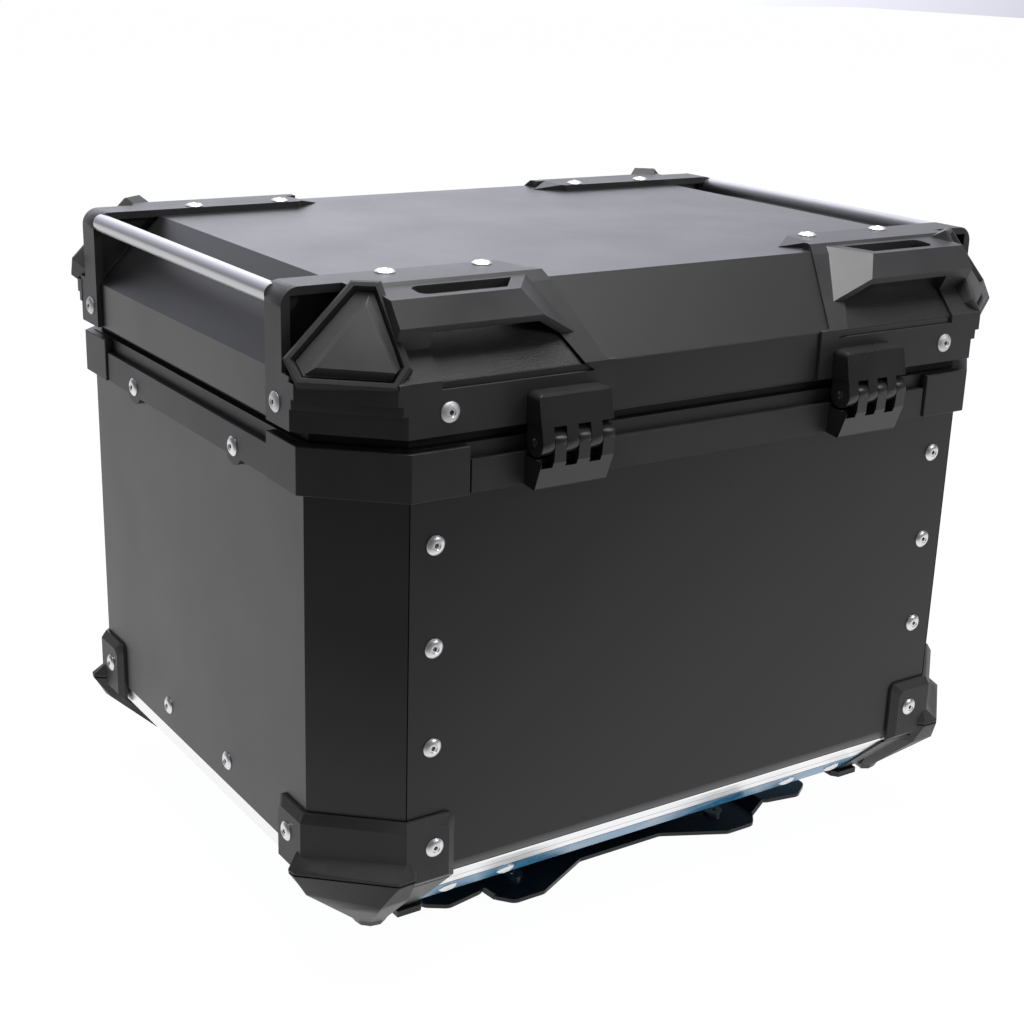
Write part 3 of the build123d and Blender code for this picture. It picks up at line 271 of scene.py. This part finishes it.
# One material for each material slot of the record
materials = {
    "powder_coat": powder_coat("powder_coat", False),
    "black_plastic": textured_plastic(
        "black_plastic", (0.027, 0.027, 0.028), rough=0.42,
        grain_scale=PLASTIC_GRAIN, grain_depth=0.14 * MM, ior=1.36),
    "hinge_plastic": textured_plastic(
        "hinge_plastic", (0.013, 0.013, 0.0135), rough=0.27,
        grain_scale=2600.0, grain_depth=0.04 * MM, strength=0.3, ior=1.47),
    "raw_aluminium": bare_sheet(),
    "film": film(),
    "rubber": textured_plastic(
        "rubber", (0.008, 0.008, 0.008), rough=0.62, grain_scale=1500.0, grain_depth=0.1 * MM),
    "rivet": metal("rivet", RIVET_HEAD, rough=0.34, scale=2500.0, depth=0.008 * MM),
    "rail": metal(
        "rail", (0.52, 0.52, 0.535), rough=0.34, scale=60.0, depth=0.03 * MM,
        stretch=(40.0, 1.0, 40.0)),
    "plate_steel": textured_plastic(
        "plate_steel", (0.008, 0.008, 0.0083), rough=0.25,
        grain_scale=400.0, grain_depth=0.1 * MM, strength=0.2),
    "screw_steel": metal(
        "screw_steel", (0.3, 0.3, 0.31), rough=0.35, scale=500.0, depth=0.05 * MM, spread=0.05),
    "pin_steel": metal("pin_steel", (0.8, 0.8, 0.81), rough=0.25, scale=600.0, depth=0.03 * MM),
    "lock_metal": metal(
        "lock_metal", (0.75, 0.75, 0.76), rough=0.2, scale=700.0, depth=0.03 * MM),
}

# Nodes that look a little different from the rest of their slot
OWN = {
    "lid_shell": lid_coat(),
    "front_panel": powder_coat("panel_coat", True),
}
OWN["rear_panel"] = OWN["front_panel"]
cap_plastic = textured_plastic(
    "cap_plastic", (0.046, 0.046, 0.047), rough=0.45,
    grain_scale=PLASTIC_GRAIN, grain_depth=0.14 * MM, ior=1.35)
for corner in ("front_left", "front_right", "rear_left", "rear_right"):
    OWN["guard_insert_" + corner] = cap_plastic
OWN["lid_rivets"] = metal(
    "lid_rivet", (0.66, 0.66, 0.67), rough=0.52, scale=2500.0, depth=0.008 * MM)

# ---------------------------------------------------------------------------------------------
# CAD nodes: their materials, and softened edges
# ---------------------------------------------------------------------------------------------
EDGE_WIDTH = {               # in millimetres; the slots that aren't here keep their edges
    "powder_coat": 0.5,
    "black_plastic": 0.85,
    "hinge_plastic": 0.5,
    "raw_aluminium": 0.3,
    "plate_steel": 0.4,
    "lock_metal": 0.25,
    "rubber": 0.5,
}
LID_EDGE_WIDTH = 1.1         # the folds of the lid are rounder than the case's
MERGE_DISTANCE = 0.002 * MM
FLAT_WITHIN = math.radians(0.5)
SHARP_FROM = math.radians(28.0)


def soften(obj, width):
    """Merges the tessellated faces, then rounds every sharp edge."""
    weld = obj.modifiers.new("weld", "WELD")
    weld.merge_threshold = MERGE_DISTANCE
    flat = obj.modifiers.new("flat", "DECIMATE")
    flat.decimate_type = "DISSOLVE"
    flat.angle_limit = FLAT_WITHIN
    bevel = obj.modifiers.new("bevel", "BEVEL")
    bevel.width = width * MM
    bevel.segments = 3
    bevel.limit_method = "ANGLE"
    bevel.angle_limit = SHARP_FROM
    bevel.use_clamp_overlap = True
    bevel.harden_normals = True
    bevel.miter_outer = "MITER_ARC"
    bevel.loop_slide = True


slots = {part["node"]: part["material_slot"] for part in frame["record"]["subparts"]}
for name, obj in frame["nodes"].items():
    slot = slots[name]
    obj.data.materials.clear()
    obj.data.materials.append(OWN.get(name, materials[slot]))
    if slot in EDGE_WIDTH:
        soften(obj, LID_EDGE_WIDTH if name == "lid_shell" else EDGE_WIDTH[slot])

# ---------------------------------------------------------------------------------------------
# Floor, camera and light
# ---------------------------------------------------------------------------------------------
FLOOR_REACH = 12.0                    # half the floor's side, in metres
FLOOR_COLOUR = (0.05, 0.05, 0.05, 1.0)
FLOOR_GLOW = (1.0, 1.0, 1.0, 1.0)
FLOOR_AXIS = (-0.56, -0.83, 0.0)      # towards the side that the photograph was taken from
FLOOR_PALE, FLOOR_GREY = 0.98, 0.14   # the glow, before and after it falls off along that axis
FADE_FROM, FADE_TO = 0.27, 0.62       # where it falls off, in metres from the origin

CAMERA_LENS = 59.66                   # in millimetres, on the sensor below
CAMERA_SENSOR = 36.0
CAMERA_PLACE = (-0.5496, -0.8019, 0.50085)
CAMERA_AROUND = math.radians(-33.97)  # from the front, about Z
CAMERA_DOWN = math.radians(18.53)
CAMERA_ROLL = math.radians(-1.84)
CLIP_NEAR, CLIP_FAR = 0.05, 100.0

ROOM_AXIS = (0.33, 0.89, 0.32)        # the room is brightest this way, behind the case
ROOM_SPREAD = (-0.2, 1.0)             # cosines to that axis where its light starts and is full
ROOM_POWER = 7.0                      # how tight the bright side is
ROOM_BRIGHT = 1.95
ROOM_BASE = 0.12
ROOM_COLOUR = (0.94, 0.95, 1.06, 1.0)


def floor():
    """A floor that glows, painted light that hides the case's shadow: pale round the case, and
    greyer towards the camera in front of its frame.
    """
    mesh = bpy.data.meshes.new("floor")
    corners = [(x * FLOOR_REACH, y * FLOOR_REACH, 0)
               for x, y in ((-1, -1), (1, -1), (1, 1), (-1, 1))]
    mesh.from_pydata(corners, [], [(0, 1, 2, 3)])
    obj = bpy.data.objects.new("floor", mesh)
    bpy.context.scene.collection.objects.link(obj)
    m = Nodes("floor")
    m.set(Roughness=0.9, Specular_IOR_Level=0.0)
    m.set(Base_Color=FLOOR_COLOUR, Emission_Color=FLOOR_GLOW)
    along = m.add("ShaderNodeVectorMath", operation="DOT_PRODUCT")
    along.inputs[1].default_value = FLOOR_AXIS
    m.link(m.place, along.inputs[0])
    # painted light: the floor's glow, falling off away from the case
    glow = m.remap(along.outputs["Value"], FADE_FROM, FADE_TO, FLOOR_PALE, FLOOR_GREY)
    m.link(glow, m.bsdf.inputs["Emission Strength"])
    mesh.materials.append(m.material)


def camera():
    """The photograph's camera, solved from the case's own corners and rivets."""
    data = bpy.data.cameras.new("camera")
    data.lens = CAMERA_LENS
    data.sensor_width = CAMERA_SENSOR
    data.clip_start = CLIP_NEAR
    data.clip_end = CLIP_FAR
    obj = bpy.data.objects.new("camera", data)
    bpy.context.scene.collection.objects.link(obj)
    level = math.cos(CAMERA_DOWN)
    back = Vector((math.sin(CAMERA_AROUND) * level, -math.cos(CAMERA_AROUND) * level,
                   math.sin(CAMERA_DOWN)))
    right = Vector((math.cos(CAMERA_AROUND), math.sin(CAMERA_AROUND), 0.0))
    up = back.cross(right)
    rolled_right = math.cos(CAMERA_ROLL) * right - math.sin(CAMERA_ROLL) * up
    rolled_up = math.sin(CAMERA_ROLL) * right + math.cos(CAMERA_ROLL) * up
    turn = Matrix((rolled_right, rolled_up, back)).transposed().to_4x4()
    obj.matrix_world = Matrix.Translation(Vector(CAMERA_PLACE)) @ turn
    bpy.context.scene.camera = obj


def world():
    """A dim room with one soft bright side, and colours shown as they are."""
    scene = bpy.context.scene
    scene.world = bpy.data.worlds.new("studio")
    scene.world.use_nodes = True
    tree = scene.world.node_tree
    tree.nodes.clear()
    out = tree.nodes.new("ShaderNodeOutputWorld")
    back = tree.nodes.new("ShaderNodeBackground")
    coord = tree.nodes.new("ShaderNodeTexCoord")
    dot = tree.nodes.new("ShaderNodeVectorMath")
    dot.operation = "DOT_PRODUCT"
    dot.inputs[1].default_value = ROOM_AXIS
    ramp = tree.nodes.new("ShaderNodeMapRange")
    ramp.inputs["From Min"].default_value, ramp.inputs["From Max"].default_value = ROOM_SPREAD
    curve = tree.nodes.new("ShaderNodeMath")
    curve.operation = "POWER"
    curve.inputs[1].default_value = ROOM_POWER
    level = tree.nodes.new("ShaderNodeMath")
    level.operation = "MULTIPLY_ADD"
    level.inputs[1].default_value = ROOM_BRIGHT
    level.inputs[2].default_value = ROOM_BASE
    tree.links.new(coord.outputs["Generated"], dot.inputs[0])
    tree.links.new(dot.outputs["Value"], ramp.inputs["Value"])
    tree.links.new(ramp.outputs["Result"], curve.inputs[0])
    tree.links.new(curve.outputs[0], level.inputs[0])
    tree.links.new(level.outputs[0], back.inputs["Strength"])
    back.inputs["Color"].default_value = ROOM_COLOUR
    tree.links.new(back.outputs["Background"], out.inputs["Surface"])
    scene.view_settings.view_transform = "Standard"
    scene.view_settings.look = "None"


def area(name, place, aim, size, power):
    """A rectangular lamp at a place, aimed at another; its size is in metres, power in watts."""
    data = bpy.data.lights.new(name, "AREA")
    data.shape = "RECTANGLE"
    data.size, data.size_y = size
    data.energy = power
    obj = bpy.data.objects.new(name, data)
    bpy.context.scene.collection.objects.link(obj)
    place = Vector(place)
    turn = (Vector(aim) - place).to_track_quat("-Z", "Y").to_matrix().to_4x4()
    obj.matrix_world = Matrix.Translation(place) @ turn


floor()
camera()
world()
area("top_box", place=(0.02, -0.1, 2.2), aim=(0.0, 0.0, 0.2), size=(1.1, 1.1), power=84.0)
area("edge_strip", place=(1.06, -1.65, 1.08), aim=(0.05, -0.15, 0.28), size=(0.8, 0.2), power=6.0)
